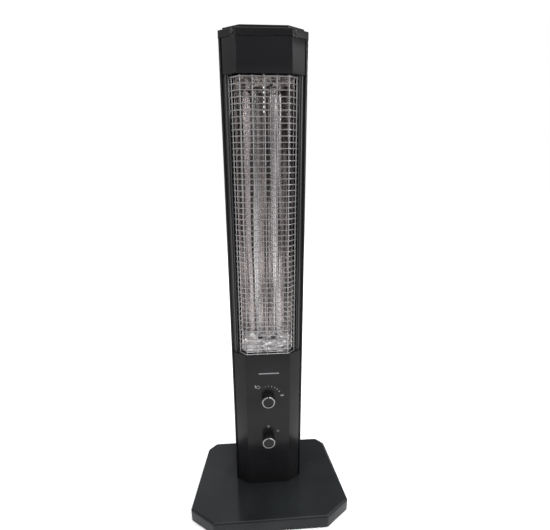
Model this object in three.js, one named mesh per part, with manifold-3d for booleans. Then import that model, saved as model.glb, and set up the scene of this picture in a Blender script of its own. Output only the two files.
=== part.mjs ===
// Free-standing infrared patio heater: a faceted sheet-steel column on a weighted base plate,
// with two quartz lamps in a bright reflector behind a welded wire guard, and two rotary controls.
// Millimetres, +Z up, the front faces -Y, the origin is on the floor under the middle of the base.
import * as THREE from "three";
import { mergeVertices } from "three/addons/utils/BufferGeometryUtils.js";
import Module from "manifold-3d";

const wasm = await Module();
wasm.setup();

// ---- Driving dimensions -------------------------------------------------------------------
const GAP = 0.3; // clearance between parts that touch
const SHEET = 1.2; // casing steel
const BRIGHT_SHEET = 0.8; // reflector aluminium

const BASE_TOP = 36;
const BASE_BOTTOM = 2.6; // lower edge of the cover, just clear of the floor
const BASE_WALL = 2;
const BASE_EDGE_ROUND = 5;
const BASE_DEPTH = 257;
const BASE_FRONT_HALF = 200.5; // half width behind the front corners
const BASE_BACK_HALF = 176; // half width at the back corners
const BASE_CORNER = { frontX: 60.5, frontY: 43.5, backX: 22.5, backY: 20.5 };
const FOOT_HEIGHT = 4.2;
const FEET = [[-160, -78], [160, -78], [-140, 92], [140, 92]];

const FRONT_Y = -21; // front plane of the column
const FLAT_HALF = 54; // half width of the front plane
const SLOPE = 0.665; // how far the chamfered faces fall back per millimetre outwards
const SIDE_X = 87; // outer face of the side panels
const BACK_Y = 94; // outer face of the side panels' rear flanges
const BACK_CORNER = 10;
const PANEL_EDGE = 80.8; // where the chamfered panels end, short of the side panels' lips
const LIP_EDGE = 83.4;
const COLUMN_FOOT = BASE_TOP + GAP;
const CAP_BOTTOM = 1100;
const CAP_TOP = 1113.5;
const CROWN_TOP = 1118.5;

const WINDOW_LOW = 428; // the opening in front of the reflector
const WINDOW_HIGH = 1036.7;

const WIRE = 1.2; // half thickness of a guard wire
const WIRE_PITCH = 12;
const WIRE_COUNT = 51;
const GUARD_LOW = 431.2;
const GUARD_Y = -23;
const GUARD_FLAT_HALF = 50;
const GUARD_DROP = 17; // how far the guard's sides fall back, at 45 degrees
const UPRIGHT_PITCH = 24;

const LAMP_X = 16;
const LAMP_Y = 28;
const LAMP_LOW = 405;
const LAMP_HIGH = 1059;
const SHELF_LOW = 424; // sheet shelves that carry the lamps
const SHELF_HIGH = 1039;

const CONTROLS = [
  { knob: "regulator_knob", ring: "regulator_knob_ring", shaft: "regulator_shaft",
    nut: "regulator_nut", body: "heat_regulator", z: 306.5, size: [44, 34, 44] },
  { knob: "selector_knob", ring: "selector_knob_ring", shaft: "selector_shaft",
    nut: "selector_nut", body: "lamp_selector_switch", z: 184.5, size: [34, 28, 36] },
];
const SHAFT_RADIUS = 3;
const BUSHING_RADIUS = 5;

const CORD_INLET_Z = 72;

// ---- Solids -------------------------------------------------------------------------------
function toSolid(geometry) {
  const bare = geometry.index ? geometry.toNonIndexed() : geometry.clone();
  bare.deleteAttribute("normal");
  bare.deleteAttribute("uv");
  const merged = mergeVertices(bare, 1e-4);
  return new wasm.Manifold(new wasm.Mesh({
    numProp: 3,
    vertProperties: merged.attributes.position.array,
    triVerts: new Uint32Array(merged.index.array),
  }));
}

function toGeometry(solid) {
  const mesh = solid.getMesh();
  const geometry = new THREE.BufferGeometry();
  geometry.setAttribute("position", new THREE.BufferAttribute(mesh.vertProperties, 3));
  geometry.setIndex(new THREE.BufferAttribute(mesh.triVerts, 1));
  return geometry;
}

function cut(geometry, ...tools) {
  let solid = toSolid(geometry);
  for (const tool of tools) solid = solid.subtract(toSolid(tool));
  return toGeometry(solid);
}

function join(geometry, ...others) {
  let solid = toSolid(geometry);
  for (const other of others) solid = solid.add(toSolid(other));
  return toGeometry(solid);
}

function keepInside(geometry, limit) {
  return toGeometry(toSolid(geometry).intersect(toSolid(limit)));
}

// ---- Outlines -----------------------------------------------------------------------------
// Moves a line of points sideways, to the left of its direction, with mitred corners.
function offsetLine(points, distance, closed) {
  const count = points.length;
  return points.map(([x, y], i) => {
    const before = points[(i + count - 1) % count];
    const after = points[(i + 1) % count];
    const along = [];
    if (closed || i > 0) along.push(new THREE.Vector2(x - before[0], y - before[1]).normalize());
    if (closed || i < count - 1) along.push(new THREE.Vector2(after[0] - x, after[1] - y).normalize());
    const normals = along.map((d) => new THREE.Vector2(-d.y, d.x));
    const mitre = normals.reduce((sum, n) => sum.add(n), new THREE.Vector2()).normalize();
    const reach = distance / mitre.dot(normals[0]);
    return [x + mitre.x * reach, y + mitre.y * reach];
  });
}

// The closed outline of a folded sheet whose outer face follows the points.
function sheetOutline(points, thickness) {
  return [...points, ...offsetLine(points, thickness, false).reverse()];
}

function shapeOf(points) {
  return new THREE.Shape(points.map(([x, y]) => new THREE.Vector2(x, y)));
}

function mirrored(points) {
  return points.map(([x, y]) => [-x, y]).reverse();
}

// A plan outline raised from one height to another.
function upright(points, low, high) {
  const geometry = new THREE.ExtrudeGeometry(shapeOf(points), { depth: high - low, bevelEnabled: false });
  return geometry.translate(0, 0, low);
}

// A side outline of (y, z) points stretched across x.
function across(points, fromX, toX) {
  const geometry = new THREE.ExtrudeGeometry(shapeOf(points), { depth: toX - fromX, bevelEnabled: false });
  geometry.applyMatrix4(new THREE.Matrix4().makeBasis(
    new THREE.Vector3(0, 1, 0), new THREE.Vector3(0, 0, 1), new THREE.Vector3(1, 0, 0)));
  return geometry.translate(fromX, 0, 0);
}

// A front outline of (x, z) points stretched from one depth to another.
function throughDepth(points, fromY, toY) {
  const geometry = new THREE.ExtrudeGeometry(shapeOf(points), { depth: toY - fromY, bevelEnabled: false });
  geometry.rotateX(Math.PI / 2);
  return geometry.translate(0, toY, 0);
}

function box(x0, x1, y0, y1, z0, z1) {
  const geometry = new THREE.BoxGeometry(x1 - x0, y1 - y0, z1 - z0);
  return geometry.translate((x0 + x1) / 2, (y0 + y1) / 2, (z0 + z1) / 2);
}

// A profile of (radius, height) points turned about +Z, its inside to the left of its direction.
function turned(profile, sides) {
  const geometry = new THREE.LatheGeometry(profile.map(([r, h]) => new THREE.Vector2(r, h)), sides);
  return geometry.rotateX(Math.PI / 2);
}

// The same, with its height running out of the front face towards -Y.
function turnedOutOfFront(profile, sides) {
  return turned(profile, sides).rotateX(Math.PI / 2);
}

function peg(radius, length, sides) {
  return turned([[0, 0], [radius, 0], [radius, length], [0, length]], sides);
}

// ---- Materials ----------------------------------------------------------------------------
const material = (color, roughness, metalness) =>
  new THREE.MeshStandardMaterial({ color, roughness, metalness });
const blackPaint = () => material(0x2a282b, 0.3, 0.1);
const basePaint = () => material(0x2d2f31, 0.3, 0.1);
const darkChassisPaint = () => material(0x1d1d20, 0.45, 0.1);
const stainlessWire = () => material(0xd2d0cc, 0.25, 1);
const brightAluminium = () => material(0xcfc9c2, 0.2, 1);
const quartz = () => material(0xe8eaec, 0.05, 0);
const resistanceWire = () => material(0x8c857c, 0.4, 1);
const steatite = () => material(0xe6e0d2, 0.6, 0);
const zincSteel = () => material(0xa8aaad, 0.4, 1);
const blackScrew = () => material(0x202022, 0.4, 0.6);
const glossBlackPlastic = () => material(0x141416, 0.15, 0);
const chromeTrim = () => material(0xdcdcde, 0.08, 1);
const blackRubber = () => material(0x1a1a1a, 0.85, 0);
const cement = () => material(0x9a958c, 0.9, 0);
const greyPlastic = () => material(0x6a6d70, 0.5, 0);

const heater = new THREE.Group();

function add(name, geometry, surface, parent = heater) {
  const mesh = new THREE.Mesh(geometry, surface);
  mesh.name = name;
  parent.add(mesh);
  return mesh;
}

// ---- Base ---------------------------------------------------------------------------------
function basePlan() {
  const back = BASE_DEPTH / 2;
  const { frontX, frontY, backX, backY } = BASE_CORNER;
  const corner = new THREE.QuadraticBezierCurve(
    new THREE.Vector2(BASE_BACK_HALF, back - backY),
    new THREE.Vector2(BASE_BACK_HALF - 7, back - 4),
    new THREE.Vector2(BASE_BACK_HALF - backX, back));
  const right = [
    [BASE_FRONT_HALF - frontX, -back],
    [BASE_FRONT_HALF, frontY - back],
    ...corner.getPoints(3).map((p) => [p.x, p.y]),
  ];
  return [...right, ...mirrored(right)];
}

function boltPlaces() {
  return [[-45, 16], [45, 16], [-45, 76], [45, 76]];
}

function baseCover() {
  const outline = shapeOf(basePlan());
  const round = BASE_EDGE_ROUND;
  const shell = new THREE.ExtrudeGeometry(outline, {
    depth: BASE_TOP, bevelThickness: round, bevelSize: round, bevelOffset: -round, bevelSegments: 2,
  }).translate(0, 0, -round);
  const below = box(-250, 250, -200, 200, -20, BASE_BOTTOM);
  const softTop = new THREE.ExtrudeGeometry(shapeOf(offsetLine(basePlan(), BASE_WALL, true)), {
    depth: 20, bevelThickness: 4, bevelSize: 4, bevelOffset: -4, bevelSegments: 1,
  }).translate(0, 0, BASE_TOP - BASE_WALL - 24);
  const lower = upright(offsetLine(basePlan(), BASE_WALL, true), 0, BASE_TOP - BASE_WALL - 6);
  const holes = boltPlaces().map(([x, y]) => peg(3.4, 10, 8).translate(x, y, BASE_TOP - 6));
  add("base_cover", cut(shell, below, softTop, lower, ...holes), basePaint());
}

function ballastBlock() {
  const plan = offsetLine(basePlan(), BASE_WALL + 4.5, true);
  const boltHoles = boltPlaces().map(([x, y]) => peg(3.4, 30, 8).translate(x, y, 15));
  const footHoles = FEET.map(([x, y]) => peg(3.4, 11, 8).translate(x, y, 5));
  const top = BASE_TOP - BASE_WALL - GAP;
  add("ballast_block", cut(upright(plan, 7, top), ...boltHoles, ...footHoles), cement());
}

function bottomPlate() {
  const plan = offsetLine(basePlan(), BASE_WALL + GAP, true);
  const holes = FEET.map(([x, y]) => peg(3.4, 8, 8).translate(x, y, 2));
  add("bottom_plate", cut(upright(plan, FOOT_HEIGHT + GAP, 6.6), ...holes), zincSteel());
}

function rubberFeet() {
  const names = ["foot_front_left", "foot_front_right", "foot_rear_left", "foot_rear_right"];
  const profile = [[0, 0], [14, 0], [16, 1.2], [15, FOOT_HEIGHT], [3, FOOT_HEIGHT], [3, 14], [0, 14]];
  FEET.forEach(([x, y], i) => add(names[i], turned(profile, 14), blackRubber()).position.set(x, y, 0));
}

// ---- Column -------------------------------------------------------------------------------
const chamferY = (x) => FRONT_Y + (Math.abs(x) - FLAT_HALF) * SLOPE;

// The folded front skin that both panels share, from left to right.
function frontLine() {
  const edge = chamferY(PANEL_EDGE);
  return [
    [-PANEL_EDGE, edge + 6], [-PANEL_EDGE, edge], [-FLAT_HALF, FRONT_Y],
    [FLAT_HALF, FRONT_Y], [PANEL_EDGE, edge], [PANEL_EDGE, edge + 6],
  ];
}

// A shelf folded in from a panel's edge at the window.
function panelShelf(low) {
  const inner = FRONT_Y + SHEET / 2;
  const plan = [[-FLAT_HALF, inner], [FLAT_HALF, inner], [66, chamferY(66) + 0.7], [66, -8],
    [-66, -8], [-66, chamferY(66) + 0.7]];
  return upright(plan, low, low + SHEET);
}

function controlPanel() {
  const skin = upright(sheetOutline(frontLine(), SHEET), COLUMN_FOOT, WINDOW_LOW);
  const holes = CONTROLS.map(({ z }) =>
    peg(BUSHING_RADIUS + GAP, 10, 16).rotateX(Math.PI / 2).translate(0, FRONT_Y + 5, z));
  add("control_panel", cut(join(skin, panelShelf(WINDOW_LOW - SHEET)), ...holes), blackPaint());
}

function headPanel() {
  const skin = upright(sheetOutline(frontLine(), SHEET), WINDOW_HIGH, CAP_BOTTOM - GAP * 2);
  add("head_panel", join(skin, panelShelf(WINDOW_HIGH)), blackPaint());
}

function rearScrewPlaces() {
  return [60, 566, 1075].flatMap((z) => [[-60, z], [60, z]]);
}

// Drills along Y, used for the screws that hold the rear cover.
function rearDrill(radius, x, z) {
  return peg(radius, 20, 8).rotateX(Math.PI / 2).translate(x, BACK_Y + 10, z);
}

function sidePanels() {
  const right = [
    [LIP_EDGE, chamferY(LIP_EDGE)], [SIDE_X, chamferY(SIDE_X)], [SIDE_X, BACK_Y - BACK_CORNER],
    [SIDE_X - BACK_CORNER, BACK_Y], [52, BACK_Y],
  ];
  const outline = sheetOutline(right, SHEET);
  const top = CAP_BOTTOM - GAP * 2;
  const panels = [["side_panel_left", mirrored(outline), -1], ["side_panel_right", outline, 1]];
  for (const [name, plan, side] of panels) {
    const holes = rearScrewPlaces()
      .filter(([x]) => x * side > 0)
      .map(([x, z]) => rearDrill(2.1, x, z));
    add(name, cut(upright(plan, COLUMN_FOOT, top), ...holes), blackPaint());
  }
}

// The chassis rails stand inside the side panels and show on both sides of the guard.
function rails() {
  const ridge = 2.2;
  const right = [
    [70, 24], [70, -4], [74.3, -1.1], [74.3, chamferY(74.3) + ridge], [77.3, chamferY(77.3) + ridge],
    [77.3, 6], [84.9, 6], [84.9, 28],
  ];
  const outline = sheetOutline(right, SHEET);
  add("rail_left", upright(mirrored(outline), COLUMN_FOOT, CAP_BOTTOM - 4), darkChassisPaint());
  add("rail_right", upright(outline, COLUMN_FOOT, CAP_BOTTOM - 4), darkChassisPaint());
}

function rearCover() {
  const plate = box(-68, 68, BACK_Y + GAP, BACK_Y + GAP + SHEET, COLUMN_FOOT + 1, CAP_BOTTOM - GAP * 2);
  const slot = (z) => box(-42, 42, BACK_Y - 2, BACK_Y + 5, z, z + 4);
  const slots = [];
  for (let i = 0; i < 8; i++) slots.push(slot(980 + i * 10));
  for (let i = 0; i < 6; i++) slots.push(slot(130 + i * 10));
  const holes = rearScrewPlaces().map(([x, z]) => rearDrill(2.1, x, z));
  const inlet = peg(8, 20, 20).rotateX(Math.PI / 2).translate(0, BACK_Y + 10, CORD_INLET_Z);
  add("rear_cover", cut(plate, ...slots, ...holes, inlet), blackPaint());
}

function rearScrews() {
  const profile = [[0, 0], [1.7, 0], [1.7, 10], [3.6, 10], [3.4, 11.4], [2.2, 12.3], [0, 12.5]];
  const under = BACK_Y + SHEET + GAP * 2;
  rearScrewPlaces().forEach(([x, z], i) => {
    const level = ["low", "middle", "high"][Math.floor(i / 2)];
    const side = i % 2 ? "right" : "left";
    const screw = add(`rear_screw_${level}_${side}`, turned(profile, 8), blackScrew());
    screw.rotation.x = -Math.PI / 2;
    screw.position.set(x, under - 10, z);
  });
}

// The channel that bolts the column to the base.
function columnBracket() {
  const line = [[-69.5, 66], [-69.5, COLUMN_FOOT], [69.5, COLUMN_FOOT], [69.5, 66]];
  const channel = throughDepth(sheetOutline(line, 2), 4, 88);
  const holes = boltPlaces().map(([x, y]) => peg(3.4, 10, 8).translate(x, y, BASE_TOP - 2));
  add("column_bracket", cut(channel, ...holes), zincSteel());
}

function columnBolts() {
  const seat = COLUMN_FOOT + 2 + GAP;
  const names = ["column_bolt_front_left", "column_bolt_front_right",
    "column_bolt_rear_left", "column_bolt_rear_right"];
  boltPlaces().forEach(([x, y], i) => {
    const head = new THREE.CylinderGeometry(5.8, 5.8, 4, 6).rotateX(Math.PI / 2).translate(0, 0, 2);
    const shank = peg(3, 20.5, 8).translate(0, 0, -20);
    add(names[i], join(head, shank), zincSteel()).position.set(x, y, seat);
  });
}

// ---- Cap ----------------------------------------------------------------------------------
function columnPlan() {
  const side = chamferY(SIDE_X);
  const back = BACK_Y + GAP + SHEET;
  const right = [
    [FLAT_HALF, FRONT_Y], [SIDE_X, side], [SIDE_X, back - BACK_CORNER], [SIDE_X - BACK_CORNER, back],
  ];
  return [...right, ...mirrored(right)];
}

function crownPlan(inset) {
  const right = [[46, -18.5], [79, 3.5], [79, 80], [70, 89]];
  return offsetLine([...right, ...mirrored(right)], inset, true);
}

const CAP_SCREW = { x: 60.5, z: 1106.9 };
const CHAMFER_TURN = Math.atan(SLOPE);

// Puts a piece that faces -Y onto one of the chamfered faces, a distance behind it.
function placeOnChamfer(mesh, side, x, z, behind) {
  mesh.rotation.z = side * CHAMFER_TURN;
  const inwards = new THREE.Vector2(-side * Math.sin(CHAMFER_TURN), Math.cos(CHAMFER_TURN));
  mesh.position.set(side * x + inwards.x * behind, chamferY(x) + inwards.y * behind, z);
  return mesh;
}

function drillOnChamfer(radius, side) {
  const drill = placeOnChamfer(
    new THREE.Mesh(peg(radius, 16, 8).rotateX(Math.PI / 2).translate(0, 8, 0)),
    side, CAP_SCREW.x, CAP_SCREW.z, 0);
  drill.updateMatrix();
  return drill.geometry.applyMatrix4(drill.matrix);
}

function topCap() {
  const skirt = upright(offsetLine(columnPlan(), -0.5, true), CAP_BOTTOM, CAP_TOP);
  const crown = upright(crownPlan(0), CAP_TOP - 1, CROWN_TOP);
  const inside = upright(offsetLine(columnPlan(), SHEET - 0.5, true), CAP_BOTTOM - 1, CAP_TOP - SHEET);
  const underCrown = upright(crownPlan(SHEET), CAP_TOP - 3, CROWN_TOP - SHEET);
  const holes = [-1, 1].map((side) => drillOnChamfer(2.1, side));
  add("top_cap", cut(join(skirt, crown), inside, underCrown, ...holes), blackPaint());
}

// Tabs behind the head panel that the cap's screws go into.
function capTabs() {
  for (const [name, side] of [["cap_tab_left", -1], ["cap_tab_right", 1]]) {
    const strip = box(-6, 6, 0, SHEET, 1070 - CAP_SCREW.z, CAP_TOP - 4 - CAP_SCREW.z);
    const hole = peg(2.1, 16, 8).rotateX(Math.PI / 2).translate(0, 8, 0);
    placeOnChamfer(add(name, cut(strip, hole), zincSteel()), side, CAP_SCREW.x, CAP_SCREW.z, 1.7);
  }
}

function capScrews() {
  const profile = [[0, 0], [1.7, 0], [1.7, 9], [3.8, 9], [3.6, 10.4], [2.4, 11.4], [0, 11.6]];
  for (const [name, side] of [["cap_screw_left", -1], ["cap_screw_right", 1]]) {
    const screw = turnedOutOfFront(profile, 10).translate(0, 9, 0);
    placeOnChamfer(add(name, screw, blackScrew()), side, CAP_SCREW.x, CAP_SCREW.z, -0.9);
  }
}

// ---- Wire guard ---------------------------------------------------------------------------
// A four-edged wire that follows a level line of (x, y) points, mitred at its bends.
function levelWire(points, z) {
  const geometry = new THREE.CylinderGeometry(WIRE, WIRE, 1, 4, points.length - 1);
  const position = geometry.attributes.position;
  const rims = offsetLine(points, 1, false);
  for (let i = 0; i < position.count; i++) {
    const ring = Math.round((0.5 - position.getY(i)) * (points.length - 1));
    const [x, y] = points[ring];
    const sideways = position.getX(i);
    const dx = (rims[ring][0] - x) * sideways;
    const dy = (rims[ring][1] - y) * sideways;
    position.setXYZ(i, x + dx, y + dy, z + position.getZ(i));
  }
  return geometry;
}

function uprightWire(x, y) {
  const height = (WIRE_COUNT - 1) * WIRE_PITCH + 4 * WIRE;
  const geometry = new THREE.CylinderGeometry(WIRE, WIRE, height, 4, 1).rotateX(Math.PI / 2);
  return geometry.translate(x, y, GUARD_LOW + height / 2 - 2 * WIRE);
}

function wireGuard() {
  const end = [GUARD_FLAT_HALF + GUARD_DROP, GUARD_Y + GUARD_DROP];
  const line = [[-end[0], end[1]], [-GUARD_FLAT_HALF, GUARD_Y], [GUARD_FLAT_HALF, GUARD_Y], end];
  const behind = WIRE * 1.6;
  const wires = [];
  for (let i = 0; i < WIRE_COUNT; i++) wires.push(levelWire(line, GUARD_LOW + i * WIRE_PITCH));
  for (let i = -2; i <= 2; i++) wires.push(uprightWire(i * UPRIGHT_PITCH, GUARD_Y + behind));
  for (const side of [-1, 1]) {
    const back = 1.5 / Math.SQRT2;
    const x = end[0] - back - behind / Math.SQRT2;
    wires.push(uprightWire(side * x, end[1] - back + behind / Math.SQRT2));
  }
  add("wire_guard", join(wires[0], ...wires.slice(1)), stainlessWire());
}

// ---- Reflector and lamps ------------------------------------------------------------------
// The bright face of the right-hand trough, from the ridge between the lamps to its front edge.
function troughLine() {
  return [[1.3, 16], [2.2, 30], [7, 41], [16, 45.5], [27, 44.5], [38, 39], [48, 28], [56, 13], [60, -3]];
}

function reflectors() {
  const outline = sheetOutline(troughLine(), BRIGHT_SHEET);
  const low = SHELF_LOW + SHEET + GAP;
  const high = SHELF_HIGH - GAP;
  add("reflector_left", upright(mirrored(outline), low, high), brightAluminium());
  add("reflector_right", upright(outline, low, high), brightAluminium());
}

// The hollow between the two troughs' bright faces, kept clear of them.
function troughHollow() {
  const right = offsetLine(troughLine(), -GAP * 2, false);
  const front = [50, -16];
  const ridge = [[0, 14.6]];
  const half = [...right, front];
  return [...mirrored(half), ...ridge, ...half];
}

function lampHoles(radius, low, high) {
  return [-LAMP_X, LAMP_X].map((x) => peg(radius, high - low, 16).translate(x, LAMP_Y, low));
}

// Bright plates that slope up or down to the lamps and close the reflector's ends.
function reflectorEnds() {
  const limit = upright(troughHollow(), SHELF_LOW, SHELF_HIGH + 10);
  const low = WINDOW_LOW + 4;
  const high = WINDOW_HIGH - 4;
  const floor = [[-15, low], [-10, low], [48, low + 27]];
  const ceiling = [[48, high - 27], [-10, high], [-15, high]];
  for (const [name, line] of [["reflector_floor", floor], ["reflector_ceiling", ceiling]]) {
    const plate = across(sheetOutline(line, BRIGHT_SHEET), -62, 62);
    const holes = lampHoles(6.6, line[2][1] - 60, line[0][1] + 60);
    add(name, cut(keepInside(plate, limit), ...holes), brightAluminium());
  }
}

function lampShelves() {
  const edge = 69.7;
  const low = [
    [-edge, SHELF_LOW - 24], [-edge, SHELF_LOW + SHEET],
    [edge, SHELF_LOW + SHEET], [edge, SHELF_LOW - 24],
  ];
  const high = [
    [-edge, SHELF_HIGH + 26], [-edge, SHELF_HIGH],
    [edge, SHELF_HIGH], [edge, SHELF_HIGH + 26],
  ];
  const lowShelf = throughDepth(sheetOutline(low, -SHEET), -3, 48);
  const highShelf = throughDepth(sheetOutline(high, SHEET), -3, 48);
  add("lamp_shelf_low", cut(lowShelf, ...lampHoles(6.6, 380, 470)), zincSteel());
  add("lamp_shelf_high", cut(highShelf, ...lampHoles(6.6, 1000, 1090)), zincSteel());
}

function quartzTube() {
  const length = LAMP_HIGH - LAMP_LOW;
  return turned([[4.3, 0], [5.5, 0], [5.5, length], [4.3, length], [4.3, 0]], 16);
}

function heatingCoil() {
  return peg(3, LAMP_HIGH - LAMP_LOW, 10);
}

function lampHolder() {
  const bore = 5.5 + GAP;
  return turned([[0, 0], [9, 0], [9, 28], [12, 28], [12, 31], [bore, 31], [bore, 12], [0, 12]], 14);
}

function lamps() {
  for (const [side, x] of [["left", -LAMP_X], ["right", LAMP_X]]) {
    add(`quartz_tube_${side}`, quartzTube(), quartz()).position.set(x, LAMP_Y, LAMP_LOW);
    add(`heating_coil_${side}`, heatingCoil(), resistanceWire()).position.set(x, LAMP_Y, LAMP_LOW);
    add(`lamp_holder_low_${side}`, lampHolder(), steatite())
      .position.set(x, LAMP_Y, LAMP_LOW - 12 - GAP);
    const high = add(`lamp_holder_high_${side}`, lampHolder(), steatite());
    high.rotation.x = Math.PI;
    high.position.set(x, LAMP_Y, LAMP_HIGH + 12 + GAP);
  }
}

// ---- Controls -----------------------------------------------------------------------------
// Heights in these profiles count outwards from the front plane of the panel.
function knobBody() {
  const body = turnedOutOfFront([
    [0, 16], [3.3, 16], [3.3, 9], [11, 9], [11, 1.5], [15.5, 1.5], [15.5, 17.5], [12.3, 17.5],
    [12.3, 19], [0, 19]], 24);
  return join(body, box(-0.9, 0.9, -20, -10, 12, 15.6));
}

function knobRing() {
  const ring = turnedOutOfFront([
    [12.6, 17.8], [16, 17.8], [16.3, 19], [15.4, 20.6], [13.4, 20.8], [12.6, 20], [12.6, 17.8]], 24);
  return cut(ring, box(-1.2, 1.2, -30, -10, 5, 20));
}

function rodOutOfFront(radius, from, to, sides) {
  return turnedOutOfFront([[0, from], [radius, from], [radius, to], [0, to]], sides);
}

function controls() {
  for (const { knob, ring, shaft, nut, body, z, size } of CONTROLS) {
    const group = new THREE.Group();
    group.position.set(0, FRONT_Y, z);
    heater.add(group);
    add(knob, knobBody(), glossBlackPlastic(), group);
    add(ring, knobRing(), chromeTrim(), group);
    add(shaft, rodOutOfFront(SHAFT_RADIUS, -9, 15.7, 14), zincSteel(), group);
    const hexagon = new THREE.CylinderGeometry(8, 8, 2.4, 6).translate(0, -1.5, 0);
    add(nut, cut(hexagon, peg(BUSHING_RADIUS + GAP, 20, 16).rotateX(Math.PI / 2).translate(0, 10, 0)),
      zincSteel(), group);
    const [width, depth, height] = size;
    const back = SHEET + GAP;
    const housing = box(-width / 2, width / 2, back, back + depth, -height / 2, height / 2);
    const bushing = rodOutOfFront(BUSHING_RADIUS, -back - 2, 6.5, 16);
    const bore = rodOutOfFront(SHAFT_RADIUS + GAP, -10, 20, 16);
    add(body, cut(join(housing, bushing), bore), greyPlastic(), group);
  }
}

// ---- Electrical pieces in the foot of the column -------------------------------------------
function terminalBlock() {
  const seat = COLUMN_FOOT + 2 + GAP;
  const grooves = [-15, -5, 5, 15].map((x) => box(x - 0.8, x + 0.8, 55, 90, seat + 9, seat + 20));
  add("terminal_block", cut(box(-26, 26, 62, 82, seat, seat + 14), ...grooves), steatite());
}

function tiltSwitch() {
  const seat = COLUMN_FOOT + 2 + GAP;
  const lid = box(-9, 9, 17, 31, seat + 20, seat + 27);
  add("tilt_switch", join(box(-12, 12, 14, 34, seat, seat + 21), lid), greyPlastic());
}

function cordGland() {
  const profile = [
    [4.5, 0], [7.6, 0], [7.6, 12.6], [11.5, 12.6],
    [11, 16], [7.5, 18.5], [4.5, 18.5], [4.5, 0],
  ];
  const gland = add("cord_gland", turned(profile, 16), blackRubber());
  gland.rotation.x = -Math.PI / 2;
  gland.position.set(0, BACK_Y + GAP * 2 + SHEET - 12.6, CORD_INLET_Z);
}

baseCover();
ballastBlock();
bottomPlate();
rubberFeet();
columnBracket();
columnBolts();
sidePanels();
rails();
rearCover();
rearScrews();
controlPanel();
headPanel();
topCap();
capTabs();
capScrews();
wireGuard();
reflectors();
reflectorEnds();
lampShelves();
lamps();
controls();
terminalBlock();
tiltSwitch();
cordGland();

export default heater;
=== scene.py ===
import math

import bmesh
import bpy
from mathutils import Matrix, Vector, noise


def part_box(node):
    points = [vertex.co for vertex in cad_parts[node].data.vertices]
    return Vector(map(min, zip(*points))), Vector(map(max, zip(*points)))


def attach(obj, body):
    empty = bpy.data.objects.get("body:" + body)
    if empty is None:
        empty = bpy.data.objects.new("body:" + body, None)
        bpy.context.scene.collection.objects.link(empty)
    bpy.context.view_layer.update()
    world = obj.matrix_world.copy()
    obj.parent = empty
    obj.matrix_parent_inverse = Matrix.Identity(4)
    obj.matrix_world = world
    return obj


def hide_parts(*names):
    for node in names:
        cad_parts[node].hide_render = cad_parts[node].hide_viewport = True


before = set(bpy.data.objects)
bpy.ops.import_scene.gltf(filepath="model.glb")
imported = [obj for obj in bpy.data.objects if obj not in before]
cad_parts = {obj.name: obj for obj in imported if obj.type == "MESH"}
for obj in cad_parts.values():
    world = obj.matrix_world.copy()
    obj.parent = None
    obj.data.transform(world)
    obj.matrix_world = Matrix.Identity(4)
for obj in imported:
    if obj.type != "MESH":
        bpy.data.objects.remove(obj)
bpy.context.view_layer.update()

# ---- Studio ---------------------------------------------------------------------------------
# A pale floor, six soft lamps round the table and an even light from above. The room is white
# to look at but dim in reflections, as round a lit studio table.
MM = 0.001
CAMERA_PLACE = (-0.03295, -0.7762, 0.8780)
CAMERA_YAW = 0.0682
CAMERA_PITCH = 0.2895
CAMERA_ROLL = -0.0044
CAMERA_LENS = 23.197
SENSOR = 36.0
# Each lamp: name, place, the point it faces, width, height, power.
LAMPS = [
    ("key_lamp", (1.9, -1.5, 2.3), (0.0, 0.0, 0.8), 1.2, 1.2, 42.0),
    ("left_lamp", (-2.6, -0.9, 1.4), (0.0, 0.0, 0.7), 2.6, 3.0, 26.0),
    ("front_lamp", (-1.5, -2.2, 1.9), (0.0, 0.0, 0.9), 1.1, 1.1, 22.0),
    ("right_panel_lamp", (2.7, -1.0, 1.6), (0.0, 0.0, 1.1), 1.7, 1.7, 27.0),
    ("rear_lamp", (1.25, 2.4, 1.55), (0.0, 0.0, 0.4), 0.7, 0.9, 30.0),
    ("rear_left_lamp", (-0.80, 1.6, 1.9), (-0.1, 0.0, 0.0), 1.3, 1.3, 7.5),
]
CEILING_LIGHT = 2.5
CEILING_SPREAD = 60.0
CEILING_TILT = 8.0
ROOM_IN_REFLECTIONS = (0.36, 0.36, 0.37, 1.0)
ROOM_SEEN = (1.0, 1.0, 1.0, 1.0)

scene = bpy.context.scene
scene.view_settings.view_transform = "Standard"


def show(thing):
    scene.collection.objects.link(thing)
    return thing


camera_data = bpy.data.cameras.new("camera")
camera_data.sensor_width = SENSOR
camera_data.lens = CAMERA_LENS
camera_data.clip_start = 0.02
camera = show(bpy.data.objects.new("camera", camera_data))
camera.matrix_world = (
    Matrix.Translation(CAMERA_PLACE)
    @ Matrix.Rotation(-CAMERA_YAW, 4, "Z")
    @ Matrix.Rotation(math.pi / 2 - CAMERA_PITCH, 4, "X")
    @ Matrix.Rotation(CAMERA_ROLL, 4, "Z")
)
scene.camera = camera

for lamp_name, place, target, width, height, power in LAMPS:
    lamp_data = bpy.data.lights.new(lamp_name, "AREA")
    lamp_data.shape = "RECTANGLE"
    lamp_data.size = width
    lamp_data.size_y = height
    lamp_data.energy = power
    lamp = show(bpy.data.objects.new(lamp_name, lamp_data))
    aim = Vector(target) - Vector(place)
    lamp.matrix_world = Matrix.Translation(place) @ aim.to_track_quat("-Z", "Y").to_matrix().to_4x4()


ceiling_data = bpy.data.lights.new("ceiling_light", "SUN")
ceiling_data.energy = CEILING_LIGHT
ceiling_data.angle = math.radians(CEILING_SPREAD)
ceiling = show(bpy.data.objects.new("ceiling_light", ceiling_data))
ceiling.matrix_world = Matrix.Rotation(math.radians(CEILING_TILT), 4, "Y")


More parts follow.
